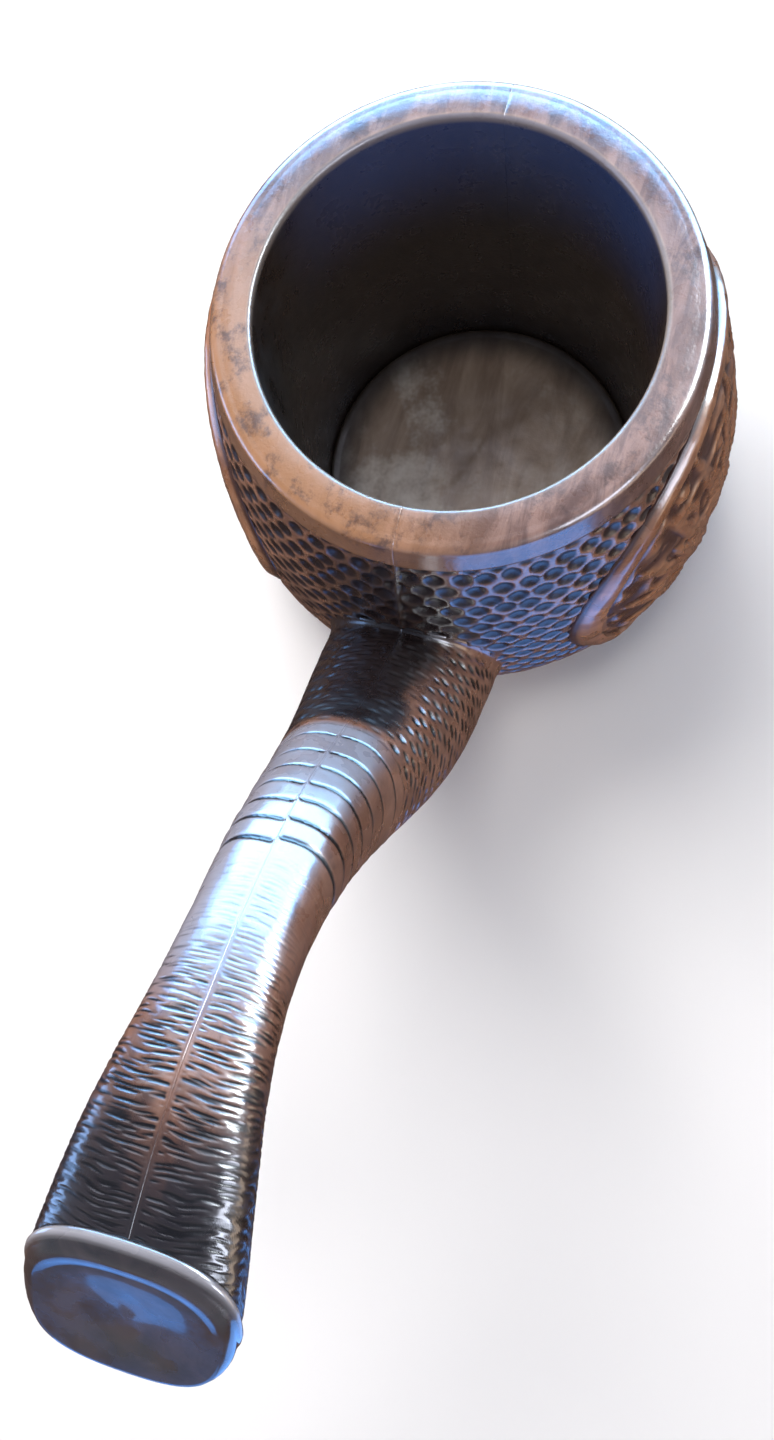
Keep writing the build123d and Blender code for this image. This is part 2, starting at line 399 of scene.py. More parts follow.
def leaf(x, z, base, tip, width, bend):
    """Height from 0 to 1 of one carved leaf: swollen sides, a sunk vein and side ribs."""
    base, tip = np.array(base, float), np.array(tip, float)
    length = np.linalg.norm(tip - base)
    along_way = (tip - base) / length
    across_way = np.array([-along_way[1], along_way[0]])
    u = ((x - base[0]) * along_way[0] + (z - base[1]) * along_way[1]) / length
    v = (x - base[0]) * across_way[0] + (z - base[1]) * across_way[1]
    v = v - bend * 4 * u * (1 - u)
    half = width * np.clip(np.sin(math.pi * np.clip(u, 0, 1) ** 0.75), 0, None) ** 0.7 + 1e-6
    share = np.abs(v) / half
    inside = (u > 0) & (u < 1) & (share < 1)
    body = np.sqrt(np.clip(1 - share**2, 0, None))
    vein = 0.30 * np.exp(-((v / 0.5) ** 2))
    ribs = 0.06 * np.sin((u * length - np.abs(v) * 1.2) * 2.0) * np.clip(share * 2, 0, 1)
    return np.where(inside, np.clip(0.1 + 0.9 * body - vein + ribs * body, 0, 1.2), 0.0)


def relief(x, z):
    """Height of the carved leaf spray inside the border, 0 to about 1."""
    height = np.zeros_like(x)
    foot = np.array([0.0, 6.0])
    for count, gap, reach, width, bend, level in LEAF_LAYERS:
        for index in range(count):
            turn = math.radians((index - (count - 1) / 2) * gap)
            way = np.array([math.sin(turn), math.cos(turn)])
            low, high = 0.0, 90.0
            for _ in range(20):
                middle = (low + high) / 2
                inside = oval_place(*(foot + way * middle)) < LEAF_LIMIT
                low, high = (middle, high) if inside else (low, middle)
            if low == 0.0:       # this way leads out of the oval at once
                continue
            tip = foot + way * low * reach
            curve = -bend * math.sin(turn)
            height = np.maximum(height, level * leaf(x, z, foot, tip, width, curve))
    return height


def on_cylinder(x, z, radius):
    """Points on the +Y side of an upright cylinder whose radius may change with the place."""
    return np.stack([x, np.sqrt(np.clip(radius**2 - x**2, 1, None)), z], -1)


def medallion(side):
    """Raised, bordered panel that follows the wall, carved with leaves over scrollwork."""
    inner_rings, border_rings, spokes = 130, 60, 300
    rings = inner_rings + border_rings
    share = np.concatenate(
        [np.linspace(0.004, 0.86, inner_rings), np.linspace(0.8645, 0.998, border_rings)]
    )
    angle = np.linspace(0, 2 * math.pi, spokes, endpoint=False)
    share, angle = np.meshgrid(share, angle, indexing="ij")
    x = OVAL_HALF_WIDTH * share * np.cos(angle)
    z = OVAL_Z + OVAL_HALF_HEIGHT * share * np.sin(angle)
    border = smooth_step(0.905, 0.93, share) * (1 - smooth_step(0.97, 1.0, share) ** 2)
    crown = np.clip(1 - ((share - 0.95) / 0.045) ** 2, 0, 1) ** 0.5
    groove = bump(share, 0.893, 0.012)
    scroll = 0.55 * (1 - np.abs(np.sin(4.2 * layered_noise(x / 9, z / 9, 52, 2))))
    carved = np.maximum(relief(x, z), scroll) * (1 - smooth_step(0.86, 0.885, share))
    ground = layered_noise(x / 2.2, z / 2.2, 51) * 0.08
    lift = 0.05 + ground + 1.5 * carved - 0.3 * groove + border * (0.75 + 0.55 * crown)
    radius = wall_radius(z) + lift
    front = on_cylinder(x, z, radius)
    rim_x, rim_z = x[-1] * 1.002, OVAL_Z + (z[-1] - OVAL_Z) * 1.002
    # The rim sits at the depth of the wall under the front's last ring.
    back = [on_cylinder(rim_x, rim_z, wall_radius(z[-1]) - PANEL_SINK)]
    for back_share in np.linspace(0.98, 0.06, 14):
        back_z = OVAL_Z + (rim_z - OVAL_Z) * back_share
        back.append(on_cylinder(rim_x * back_share, back_z, wall_radius(back_z) - PANEL_SINK))
    sheet = np.concatenate([front, np.stack(back)], 0)
    hollows = 0.6 - 0.6 * np.clip(lift / 0.8, 0, 1)
    depth = np.append(hollows.reshape(-1), np.full(len(back) * spokes + 2, 0.5))
    points = np.vstack([sheet.reshape(-1, 3), front[0].mean(0), back[-1].mean(0)])
    points[:, 1] *= side
    faces = grid_faces(len(sheet), spokes, wrap_columns=True)
    faces += fan(len(points) - 2, 0, spokes)
    faces += fan(len(points) - 1, (len(sheet) - 1) * spokes, spokes)
    return make_mesh("carved_medallion_" + ("right" if side > 0 else "left"), points, faces, depth)


# ---- handle ------------------------------------------------------------------------
STATION_XZ = np.array([place for place, _, _ in HANDLE_STATIONS])
STATION_RUN = np.concatenate([[0], np.cumsum(np.hypot(*np.diff(STATION_XZ, axis=0).T))])
HANDLE_LENGTH = STATION_RUN[-1]
centre_line = spline_through(STATION_RUN, STATION_XZ)
section_size = spline_through(STATION_RUN, [(width, depth) for _, width, depth in HANDLE_STATIONS])

GROOVES_RIGHT = (86.0, 92.1, 97.0, 101.6, 105.7, 109.7, 113.5)
GROOVES_LEFT = (86.2, 92.4, 97.4, 102.2, 106.5, 110.4, 114.4)
SCALE_ZONE_START = 82.5      # all of these are places along the centre line
GOUGE_START = 115.0
# Runs of the painted shade at the root, of the painted sheen, and of the painted shade at the end.
ROOT_SHADE_END = (77.0, 83.0)
SHEEN_RUNS = ((77.0, 82.0), (126.0, 156.0))       # where the painted blue-grey sheen comes in and goes out
END_SHADE_START = (130.0, 160.0)
FILLET = 3.6                 # at the bowl's wall


def handle_surface(run, angle, side, grow=0.0):
    """Points of the plain handle: run along the centre line, angle from the crest, 0 to pi."""
    centre = centre_line(run)
    slope = centre_line(run + 0.05) - centre_line(run - 0.05)
    slope = slope / np.linalg.norm(slope, axis=-1)[..., None]
    size = section_size(run)
    power = 2 / (ROOT_SQUARENESS + (END_SQUARENESS - ROOT_SQUARENESS) * run / HANDLE_LENGTH)
    sine, cosine = np.sin(angle), np.cos(angle)
    across = (size[..., 0] + grow) * np.abs(sine) ** power
    up = (size[..., 1] + grow) * np.sign(cosine) * np.abs(cosine) ** power
    x = centre[..., 0] - slope[..., 1] * up
    z = centre[..., 1] + slope[..., 0] * up
    return np.stack([x, side * across, z], -1)


def run_where(test, low, high, angle, side):
    """Run at which a test of the surface points changes sign, for every angle, by halving."""
    low, high = np.full(angle.shape, low), np.full(angle.shape, high)
    for _ in range(30):
        middle = (low + high) / 2
        inside = test(handle_surface(middle, angle, side)) < 0
        low, high = np.where(inside, middle, low), np.where(inside, high, middle)
    return (low + high) / 2


def beyond_wall(points):
    """Distance outside a surface that lies 0.5 mm inside the bowl's wall."""
    wall = wall_radius(np.clip(points[..., 2], 0.5, RIM_Z))
    return np.hypot(points[..., 0], points[..., 1]) - wall + 0.5


def beyond_end(depth):
    """Test for lying past the plane that is that far inside the sloping end face."""
    limit = END_CORNER @ END_LOOK - depth
    return lambda points: points[..., 0] * END_LOOK[0] + points[..., 2] * END_LOOK[1] - limit


def outward(surface, run):
    """Unit normals of the handle's plain surface, turned away from the centre line."""
    normal = np.cross(np.gradient(surface, axis=0), np.gradient(surface, axis=1))
    normal = normal / np.maximum(np.linalg.norm(normal, axis=-1), 1e-9)[..., None]
    centre = centre_line(run)
    away = surface - np.stack([centre[..., 0], np.zeros_like(run), centre[..., 1]], -1)
    return normal * np.sign((normal * away).sum(-1))[..., None]


def handle_detail(run, girth, angle, side, start):
    """Height in millimetres and stain (0 to 1) of the handle's carving, by place on its surface."""
    around = girth * side
    root = smooth_step(SCALE_ZONE_START, SCALE_ZONE_START - 1.6, run)
    root = root * smooth_step(1.0, 4.5, run - start)
    pits = hex_dimples(
        around + 2.5, run, pitch_around=5.0, pitch_along=2.05,
        half_around=1.75, half_along=0.86, seed=61, jitter=0.10,
    )
    pits = pits * root * smooth_step(0.3, 1.1, girth)
    pits = pits * (0.30 + 0.70 * smooth_step(0.45, 0.95, np.minimum(angle, math.pi - angle)))

    places = GROOVES_RIGHT if side > 0 else GROOVES_LEFT
    grooves = np.zeros_like(run)
    for place in places:
        wave = 0.25 * lattice_noise(girth / 5, np.full_like(girth, place), 62)
        grooves = np.maximum(grooves, bump(run, place + wave, 0.36))
    grooves = grooves * smooth_step(0.1, 0.8, girth)

    crown = np.zeros_like(run)     # each scale slopes, so that its edge stands over the next one
    for low, high in zip((SCALE_ZONE_START,) + places[:-1], places):
        share = (run - low) / (high - low)
        crown = np.where((share > 0) & (share < 1), 0.5 - share, crown)

    bent = run + 0.3 * layered_noise(girth / 5, run / 5, 63, 2)
    short_cuts = hex_dimples(
        around + 1.7, bent, pitch_around=5.2, pitch_along=0.72,
        half_around=2.5, half_along=0.25, seed=64, jitter=0.26,
    )
    long_cuts = hex_dimples(
        around, bent + 0.3, pitch_around=7.4, pitch_along=1.03,
        half_around=3.0, half_along=0.23, seed=65, jitter=0.30,
    )
    zone = smooth_step(GOUGE_START, GOUGE_START + 2.0, run)
    strength = 0.22 + 0.78 * smooth_step(GOUGE_START + 8, GOUGE_START + 30, run)
    strokes = np.maximum(short_cuts, 0.8 * long_cuts) * zone * strength
    strokes = strokes * smooth_step(0.25, 0.9, girth)

    height = -0.55 * pits - 0.26 * grooves - 0.15 * strokes + 0.18 * crown
    height = height + 0.10 * layered_noise(girth / 6, run / 8, 66)
    return height, np.clip(pits + grooves + strokes * 0.7, 0, 1)


def handle_shade_and_sheen(run, girth, angle, side):
    """Painted shade and sheen by place: painted shade on the root's crest and towards the end, and
    a painted blue-grey sheen on the crest between them.
    """
    wander = 0.12 * layered_noise(run / 9, girth / 7, 67)

    def on_crest(edge):
        """1 on the crest and 0 beyond about that angle from it."""
        return 1 - smooth_step(edge - 0.4, edge + 0.3, angle + wander)

    root_shade = (1 - smooth_step(*ROOT_SHADE_END, run)) * on_crest(0.65 if side > 0 else 2.2)
    off_joint = smooth_step(0.01, 0.16, angle + 0.5 * wander)
    darkened = 0.5 + 0.5 * np.maximum(off_joint, smooth_step(140.0, 164.0, run))
    end_shade = smooth_step(*END_SHADE_START, run) * darkened
    end_shade = end_shade * (1 - 0.7 * smooth_step(1.4, 2.0, angle))
    painted_light = smooth_step(*SHEEN_RUNS[0], run) * (1 - smooth_step(*SHEEN_RUNS[1], run))
    painted_light = painted_light * on_crest(0.75 if side > 0 else 1.7)
    return np.maximum(root_shade, 0.93 * end_shade) - 0.7 * painted_light * (1 - root_shade)


def handle_half(side):
    """One half of the handle, from the bowl's wall to the end cap."""
    columns = 116
    angle = clustered(columns, 0.010, math.pi)
    start = run_where(beyond_wall, 14.0, 60.0, angle, side)
    end = run_where(beyond_end(CAP_THICKNESS), 140.0, 190.0, angle, side)
    gouge_share = (GOUGE_START - start.mean()) / (end.mean() - start.mean())
    share = np.concatenate(
        [np.linspace(0, gouge_share, 280)[:-1], np.linspace(gouge_share, 1, 370)]
    )[:, None]
    rows = len(share)
    run = start + (end - start) * share
    angle = np.repeat(angle[None, :], rows, 0)
    plain = handle_surface(run, angle, side)
    steps = np.linalg.norm(np.diff(plain, axis=1), axis=-1)
    girth = np.concatenate([np.zeros((rows, 1)), np.cumsum(steps, 1)], 1)
    to_seam = np.minimum(girth, girth[:, -1:] - girth)
    height, stain = handle_detail(run, to_seam, angle, side, start[None, :])
    # Painted shade at the root and the end, and a painted blue-grey sheen between them.
    shade_and_sheen = handle_shade_and_sheen(run, girth, angle, side)

    reach = np.clip(FILLET - (run - start[None, :]), 0, FILLET)
    height = height + (FILLET - np.sqrt(FILLET**2 - reach**2)) * 0.7
    seam = bump(to_seam, 0.0, 0.20)
    height = height + np.where(run > SCALE_ZONE_START, 0.12, 0.06) * seam * (run > start + 3)
    points = plain + outward(plain, run) * height[..., None]
    # The first row is moved back onto the wall, and the rows after it less and less.
    gap = beyond_wall(points[0])[None, :] * (reach / FILLET) ** 2
    flat_out = points[..., :2] / np.linalg.norm(points[..., :2], axis=-1)[..., None]
    points[..., :2] -= flat_out * gap[..., None]
    points[:, 0, 1] = 0.0
    points[:, -1, 1] = 0.0

    points = points.reshape(-1, 3)
    root_middle = points[:columns].mean(0)
    root_middle[1] = 0.0
    faces = grid_faces(rows, columns)
    for row in range(rows - 1):    # the flat side on the joint
        here, after = row * columns, (row + 1) * columns
        faces.append((here, after, after + columns - 1, here + columns - 1))
    faces += fan(len(points), 0, columns)
    faces.append([(rows - 1) * columns + k for k in range(columns)])
    points = np.vstack([points, root_middle])
    stain, shade_and_sheen = np.append(stain.reshape(-1), 0.0), np.append(shade_and_sheen.reshape(-1), 0.0)
    return make_mesh("handle_" + ("right" if side > 0 else "left"), points, faces, stain, shade_and_sheen)


# Rows of the end cap's edge: depth inside the end face, swell, and strength of the bead's painted
# highlight.
CAP_EDGE = (
    (3.45, 0.0, 0.3), (3.3, 0.22, 0.8), (3.05, 0.38, 1.0), (2.75, 0.34, 0.8),
    (2.5, 0.12, 0.3), (2.2, -0.10, 0.0), (1.9, -0.15, 0.0), (1.4, -0.3, 0.0),
    (0.95, -0.6, 0.0), (0.55, -1.0, 0.0), (0.25, -1.5, 0.0), (0.05, -2.1, 0.0),
)
CAP_RINGS = (0.97, 0.93, 0.88, 0.82, 0.75, 0.66, 0.56, 0.45, 0.34, 0.22, 0.1)


def end_cap():
    """Polished end: a raised bead at its back edge and a gently dished sloping face."""
    columns = 360
    turn = np.linspace(0, 2 * math.pi, columns, endpoint=False)
    side = np.where(turn <= math.pi, 1.0, -1.0)
    angle = np.where(turn <= math.pi, turn, 2 * math.pi - turn)
    loops = []
    for depth, swell, _ in CAP_EDGE:
        run = run_where(beyond_end(depth), 140.0, 190.0, angle, 1.0)
        loop = handle_surface(run, angle, 1.0, swell)
        loop[:, 1] = np.abs(loop[:, 1]) * side
        loops.append(loop)
    middle = loops[-1].mean(0)
    look = np.array([END_LOOK[0], 0, END_LOOK[1]])
    rim = loops[-1]
    for share in CAP_RINGS:
        ring = middle + (rim - middle) * share
        dish = 0.12 * (1 - share) - 0.55 * (1 - share**2) ** 2
        wave = layered_noise(ring[:, 0] / 4 + ring[:, 2] / 5, ring[:, 1] / 5, 71)
        wave = wave * 0.15 * (1 - share)
        loops.append(ring + look * (dish + wave)[:, None])
    points = np.vstack([*loops, loops[-1].mean(0)])
    faces = grid_faces(len(loops), columns, wrap_columns=True)
    faces += fan(len(points) - 1, (len(loops) - 1) * columns, columns)
    faces.append(list(range(columns)))
    # Painted highlight: the bead's rows are painted pale.
    painted_light = np.zeros(len(points))
    painted_light[: len(CAP_EDGE) * columns] = np.repeat([bead_highlight for _, _, bead_highlight in CAP_EDGE], columns)
    return make_mesh("end_cap", points, faces, painted_light)


# ---- materials ---------------------------------------------------------------------
class Nodes:
    """Small helper that builds one material's node tree."""

    def __init__(self, name):
        self.material = bpy.data.materials.new(name)
        self.material.use_nodes = True
        self.tree = self.material.node_tree
        self.shader = self.tree.nodes["Principled BSDF"]
        self.place = self.new("ShaderNodeTexCoord").outputs["Object"]

    def new(self, kind, **settings):
        node = self.tree.nodes.new(kind)
        for key, value in settings.items():
            setattr(node, key, value)
        return node

    def link(self, source, target):
        self.tree.links.new(source, target)

    def feed(self, target, value):
        """Links a socket, or sets a plain value."""
        if isinstance(value, bpy.types.NodeSocket):
            self.link(value, target)
        else:
            target.default_value = value

    def stretched(self, stretch):
        """Object coordinates scaled along each axis, in cells per metre."""
        mapping = self.new("ShaderNodeMapping")
        mapping.inputs["Scale"].default_value = stretch
        self.link(self.place, mapping.inputs["Vector"])
        return mapping.outputs["Vector"]

    def noise(self, stretch, detail=4.0, roughness=0.6, distortion=0.0):
        """Noise from 0 to 1 with so many cells per metre along each axis."""
        if not isinstance(stretch, tuple):
            stretch = (stretch,) * 3
        node = self.new("ShaderNodeTexNoise")
        self.link(self.stretched(stretch), node.inputs["Vector"])
        node.inputs["Scale"].default_value = 1.0
        node.inputs["Detail"].default_value = detail
        node.inputs["Roughness"].default_value = roughness
        node.inputs["Distortion"].default_value = distortion
        return node.outputs["Fac"]

    def ramp(self, value, low, high, at_low=0.0, at_high=1.0):
        """An S-curve between two values, level outside them."""
        node = self.new("ShaderNodeMapRange", interpolation_type="SMOOTHSTEP")
        node.inputs["From Min"].default_value = low
        node.inputs["From Max"].default_value = high
        node.inputs["To Min"].default_value = at_low
        node.inputs["To Max"].default_value = at_high
        self.link(value, node.inputs["Value"])
        return node.outputs["Result"]

    def math(self, operation, first, second):
        node = self.new("ShaderNodeMath", operation=operation)
        self.feed(node.inputs[0], first)
        self.feed(node.inputs[1], second)
        return node.outputs[0]

    def times(self, first, second):
        return self.math("MULTIPLY", first, second)

    def mix(self, share, first, second):
        """Colour from first to second, each a socket or three numbers."""
        node = self.new("ShaderNodeMix", data_type="RGBA")
        self.feed(node.inputs["Factor"], share)
        for letter, color in (("A", first), ("B", second)):
            plain = not isinstance(color, bpy.types.NodeSocket)
            self.feed(node.inputs[letter], (*color, 1.0) if plain else color)
        return node.outputs["Result"]

    def axis(self, letter):
        """One of the object coordinates, in metres."""
        node = self.new("ShaderNodeSeparateXYZ")
        self.link(self.place, node.inputs[0])
        return node.outputs[letter]

    def length(self, vector):
        node = self.new("ShaderNodeVectorMath", operation="LENGTH")
        self.link(vector, node.inputs[0])
        return node.outputs["Value"]

    def kept(self, label):
        """A number kept on the mesh's points, such as its carving depth."""
        return self.new("ShaderNodeAttribute", attribute_name=label).outputs["Fac"]

    def bumps(self, height, distance, strength):
        node = self.new("ShaderNodeBump")
        node.inputs["Strength"].default_value = strength
        node.inputs["Distance"].default_value = distance
        self.link(height, node.inputs["Height"])
        self.link(node.outputs["Normal"], self.shader.inputs["Normal"])

    def gloss(self, roughness, coat, coat_roughness):
        """Lacquer over the wood."""
        self.feed(self.shader.inputs["Roughness"], roughness)
        self.shader.inputs["IOR"].default_value = 1.6
        self.feed(self.shader.inputs["Coat Weight"], coat)
        self.shader.inputs["Coat Roughness"].default_value = coat_roughness
        self.shader.inputs["Coat IOR"].default_value = 1.55


def carved_wood(name, ridge, pale, pit, grain):
    """Stained and lacquered wood: dark stain lies in the cuts, and the ridges are a mix of two
    browns, with painted shade and a painted blue-grey sheen kept on the mesh."""
    nodes = Nodes(name)
    streak = nodes.ramp(nodes.noise(grain, 5.0, 0.65, 0.6), 0.35, 0.68)
    mottle = nodes.ramp(nodes.noise(70, 4.0), 0.36, 0.66)
    body = nodes.mix(streak, ridge, pale)
    body = nodes.mix(nodes.times(mottle, 0.45), body, tuple(0.45 * c for c in ridge))
    soot = nodes.ramp(nodes.noise(240, 3.0), 0.52, 0.72)
    body = nodes.mix(nodes.times(soot, 0.35), body, pit)
    # Painted shade: near black where the kept value is above 0, at the handle's root and end.
    dark = nodes.ramp(nodes.kept("shade_and_sheen"), 0.0, 1.0, 0.0, 0.98)
    body = nodes.mix(dark, body, (0.008, 0.006, 0.007))
    # Painted reflection: a blue-grey sheen where the kept value is below 0.
    painted_sheen = nodes.ramp(nodes.kept("shade_and_sheen"), -1.0, 0.0, 1.0, 0.0)
    body = nodes.mix(painted_sheen, body, (0.30, 0.34, 0.44))
    cuts = nodes.ramp(nodes.kept("carving"), 0.04, 0.50)
    nodes.link(nodes.mix(cuts, body, pit), nodes.shader.inputs["Base Color"])
    fine = nodes.noise(1500, 2.0)
    dull = nodes.math("MAXIMUM", cuts, nodes.ramp(nodes.kept("shade_and_sheen"), 0.94, 1.0, 0.0, 0.9))
    rough = nodes.ramp(nodes.noise(160, 3.0), 0.3, 0.7, 0.22, 0.38)
    nodes.gloss(rough, nodes.math("SUBTRACT", 1.0, nodes.times(dull, 0.92)), 0.16)
    height = nodes.math("ADD", nodes.times(fine, 0.25), nodes.noise(420, 3.0))
    nodes.bumps(height, 0.00012, 0.55)
    return nodes.material


def bowl_wood(name):
    """The wall's wood: dimpled field, paler stained rim band, and a nearly black inside."""
    nodes = Nodes(name)
    streak = nodes.ramp(nodes.noise((45, 45, 160), 5.0, 0.65, 0.6), 0.35, 0.68)
    mottle = nodes.ramp(nodes.noise(75, 4.0), 0.36, 0.66)
    body = nodes.mix(streak, (0.20, 0.088, 0.050), (0.34, 0.165, 0.098))
    body = nodes.mix(nodes.times(mottle, 0.5), body, (0.055, 0.026, 0.020))
    # Painted shade above the handle's root, from the value kept on the mesh.
    body = nodes.mix(nodes.times(nodes.kept("shade_and_sheen"), 0.9), body, (0.012, 0.008, 0.007))
    cuts = nodes.ramp(nodes.kept("carving"), 0.04, 0.45)
    body = nodes.mix(cuts, body, (0.012, 0.006, 0.006))

    height = nodes.axis("Z")
    on_band = nodes.ramp(height, (BAND_BOTTOM - 0.2) * MM, (BAND_BOTTOM + 0.2) * MM)
    on_top = nodes.ramp(height, (RIM_Z - 2.2) * MM, (RIM_Z - 0.8) * MM)
    rim_grain = nodes.ramp(nodes.noise((60, 240, 60), 5.0, 0.7, 0.8), 0.38, 0.66)
    rim = nodes.mix(rim_grain, (0.135, 0.074, 0.060), (0.32, 0.195, 0.160))
    front_left = nodes.math("SUBTRACT", nodes.axis("X"), nodes.axis("Y"))
    golden = nodes.times(nodes.ramp(front_left, 0.012, 0.055), 0.8)
    rim = nodes.mix(golden, rim, (0.44, 0.215, 0.090))
    stains = nodes.ramp(nodes.noise(150, 5.0, 0.75), 0.49, 0.66)
    rim = nodes.mix(nodes.times(stains, 0.8), rim, (0.060, 0.032, 0.028))
    side_shade = nodes.mix(on_top, nodes.mix(0.55, rim, (0.09, 0.04, 0.028)), rim)
    body = nodes.mix(on_band, body, side_shade)

    flat = nodes.new("ShaderNodeCombineXYZ")
    nodes.link(nodes.axis("X"), flat.inputs["X"])
    nodes.link(nodes.axis("Y"), flat.inputs["Y"])
    radius = nodes.length(flat.outputs[0])
    inside = nodes.ramp(
        radius, (MOUTH_RADIUS + 0.45) * MM, (MOUTH_RADIUS + 0.75) * MM, 1.0, 0.0
    )
    inner = nodes.mix(nodes.noise((60, 60, 25), 4.0), (0.008, 0.005, 0.004), (0.075, 0.047, 0.033))
    # Painted reflection: the far, upper part of the inside is painted blue.
    high = nodes.ramp(height, 0.050, 0.082)
    far = nodes.ramp(nodes.axis("X"), -0.030, -0.004, 1.0, 0.0)
    inner = nodes.mix(nodes.times(high, far), inner, (0.040, 0.070, 0.20))
    body = nodes.mix(inside, body, inner)
    # Painted highlight: a pale line on the rim's top along the mouth's edge.
    near_mouth = nodes.ramp(
        radius, (MOUTH_RADIUS + 0.4) * MM, (MOUTH_RADIUS + 1.1) * MM, 1.0, 0.0
    )
    lip = nodes.times(on_top, near_mouth)
    body = nodes.mix(nodes.times(lip, 0.5), body, (0.50, 0.44, 0.40))
    nodes.link(body, nodes.shader.inputs["Base Color"])
    dull = nodes.math("MAXIMUM", nodes.times(inside, 0.8), nodes.times(cuts, 0.92))
    rough = nodes.ramp(nodes.noise(170, 3.0), 0.3, 0.7, 0.24, 0.38)
    nodes.gloss(rough, nodes.math("SUBTRACT", 1.0, dull), 0.15)
    fine = nodes.math("ADD", nodes.noise(1400, 2.0), nodes.noise(380, 4.0))
    nodes.bumps(fine, 0.00012, 0.5)
    return nodes.material


def floor_wood(name):
    """The floor inside: satin grey-brown, with pale smudges painted stronger on the left as painted
    light, and a painted shadow round its edge.
    """
    nodes = Nodes(name)
    grain = nodes.ramp(nodes.noise((30, 130, 30), 5.0, 0.65, 0.8), 0.34, 0.68)
    body = nodes.mix(grain, (0.20, 0.135, 0.094), (0.35, 0.255, 0.187))
    smudge = nodes.ramp(nodes.noise(36, 5.0, 0.7), 0.46, 0.66)
    # Painted light: the pale smudges are painted stronger towards -Y.
    painted_light = nodes.ramp(nodes.axis("Y"), -0.030, 0.020, 1.0, 0.25)
    body = nodes.mix(nodes.times(smudge, painted_light), body, (0.66, 0.59, 0.52))
    radius = nodes.length(nodes.place)
    # Painted shadow: the floor darkens towards its edge, where it meets the wall.
    ring = nodes.ramp(radius, (MOUTH_RADIUS - 9.0) * MM, (MOUTH_RADIUS + 0.3) * MM)
    body = nodes.mix(nodes.times(ring, 0.88), body, (0.010, 0.007, 0.006))
    nodes.link(body, nodes.shader.inputs["Base Color"])
    rough = nodes.ramp(nodes.noise(120, 4.0), 0.3, 0.7, 0.30, 0.60)
    nodes.gloss(rough, 0.5, 0.28)
    nodes.bumps(nodes.noise(300, 5.0), 0.0002, 0.6)
    return nodes.material


def polished_end(name):
    """Near-black polished wood of the end cap, with a pale painted highlight on the bead."""
    nodes = Nodes(name)
    cloud = nodes.ramp(nodes.noise(110, 4.0, 0.6, 1.2), 0.34, 0.70)
    body = nodes.mix(cloud, (0.012, 0.011, 0.014), (0.045, 0.034, 0.036))
    # Painted highlight on the bead, from the value kept on the mesh.
    body = nodes.mix(nodes.kept("carving"), body, (0.34, 0.34, 0.38))
    nodes.link(body, nodes.shader.inputs["Base Color"])
    rough = nodes.ramp(nodes.noise(130, 3.0), 0.35, 0.65, 0.16, 0.42)
    nodes.gloss(rough, 1.0, 0.06)
    nodes.bumps(nodes.noise(260, 4.0), 0.0002, 0.35)
    return nodes.material


def bare_wood(name):
    """Plain beech of the hidden dowels and the tenon."""
    nodes = Nodes(name)
    grain = nodes.ramp(nodes.noise((500, 60, 500), 5.0), 0.3, 0.7)
    body = nodes.mix(grain, (0.42, 0.27, 0.15), (0.60, 0.43, 0.28))
    nodes.link(body, nodes.shader.inputs["Base Color"])
    nodes.shader.inputs["Roughness"].default_value = 0.6
    nodes.bumps(nodes.noise((700, 90, 700), 4.0), 0.0002, 0.5)
    return nodes.material


# ---- set ---------------------------------------------------------------------------
def stage_floor():
    """Plain pale floor that the cup stands on."""
    size = 3000.0
    corners = [(-size, -size, 0), (size, -size, 0), (size, size, 0), (-size, size, 0)]
    floor = make_mesh("stage_floor", corners, [(0, 1, 2, 3)], smooth=False)
    material = bpy.data.materials.new("stage")
    material.use_nodes = True
    shader = material.node_tree.nodes["Principled BSDF"]
    shader.inputs["Base Color"].default_value = (0.86, 0.86, 0.86, 1)
    shader.inputs["Roughness"].default_value = 0.9
    shader.inputs["Specular IOR Level"].default_value = 0.1
    floor.data.materials.append(material)
    floor.visible_glossy = False
    floor.visible_shadow = False


def area_light(name, place, size, power, color, matt):
    """Rectangular soft light that looks at the cup and shows only in matt or only in gloss."""
    data = bpy.data.lights.new(name, "AREA")
    data.shape = "RECTANGLE"
    data.size, data.size_y = size
    data.energy = power
    data.color = color
    light = bpy.data.objects.new(name, data)
    light.location = place
    way = Vector(LIGHT_TARGET) - Vector(place)
    light.rotation_euler = way.to_track_quat("-Z", "Y").to_euler()
    light.visible_diffuse = matt
    light.visible_glossy = not matt
    bpy.context.scene.collection.objects.link(light)


def sky():
    """Surroundings: dark blue overhead, grey at the cup's level and dark brown below it."""
    world = bpy.data.worlds.new("studio")
    world.use_nodes = True
    tree = world.node_tree
    way = tree.nodes.new("ShaderNodeTexCoord")
    parts = tree.nodes.new("ShaderNodeSeparateXYZ")
    ramp = tree.nodes.new("ShaderNodeValToRGB")
    shift = tree.nodes.new("ShaderNodeMath")
    shift.operation = "MULTIPLY_ADD"
    shift.inputs[1].default_value = 0.5
    shift.inputs[2].default_value = 0.5
    tree.links.new(way.outputs["Generated"], parts.inputs[0])
    tree.links.new(parts.outputs["Z"], shift.inputs[0])
    tree.links.new(shift.outputs[0], ramp.inputs[0])
    tree.links.new(ramp.outputs["Color"], tree.nodes["Background"].inputs["Color"])
    bands = ramp.color_ramp.elements
    bands[0].position, bands[0].color = 0.0, (0.10, 0.06, 0.045, 1)
    bands[1].position, bands[1].color = 1.0, (0.13, 0.18, 0.28, 1)
    bands.new(0.46).color = (0.22, 0.15, 0.13, 1)
    bands.new(0.56).color = (0.34, 0.36, 0.41, 1)
    bpy.context.scene.world = world


DAYLIGHT, WARM_LIGHT = (1.0, 0.97, 0.94), (1.0, 0.80, 0.64)
LIGHT_TARGET = (0.03, 0.0, 0.06)
